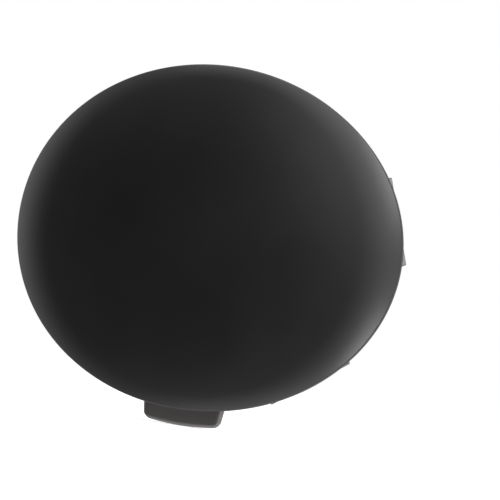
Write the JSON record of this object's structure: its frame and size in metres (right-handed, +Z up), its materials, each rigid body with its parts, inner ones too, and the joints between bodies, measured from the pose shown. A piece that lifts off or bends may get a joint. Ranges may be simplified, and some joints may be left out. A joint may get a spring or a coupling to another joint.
{
  "type": "tow hook cover",
  "caption": "Oval domed plastic cover that closes the towing-eye opening in a car bumper, held by a hooked tongue and barbed clips round its curved rim.",
  "frame": {"origin": "where the cover's axis meets the bumper's outer surface, at the crest of the curved seat of the rim", "axes": "+X across the bumper, +Y into the bumper so that the domed face looks along -Y, +Z up with the tongue at the bottom"},
  "size_m": [0.0804, 0.0198, 0.0733],
  "materials": {
    "black_plastic": "black moulded plastic, satin matte with a fine grain"
  },
  "bodies": {
    "root": {"tow_hook_cover": "black_plastic"}
  },
  "joints": []
}
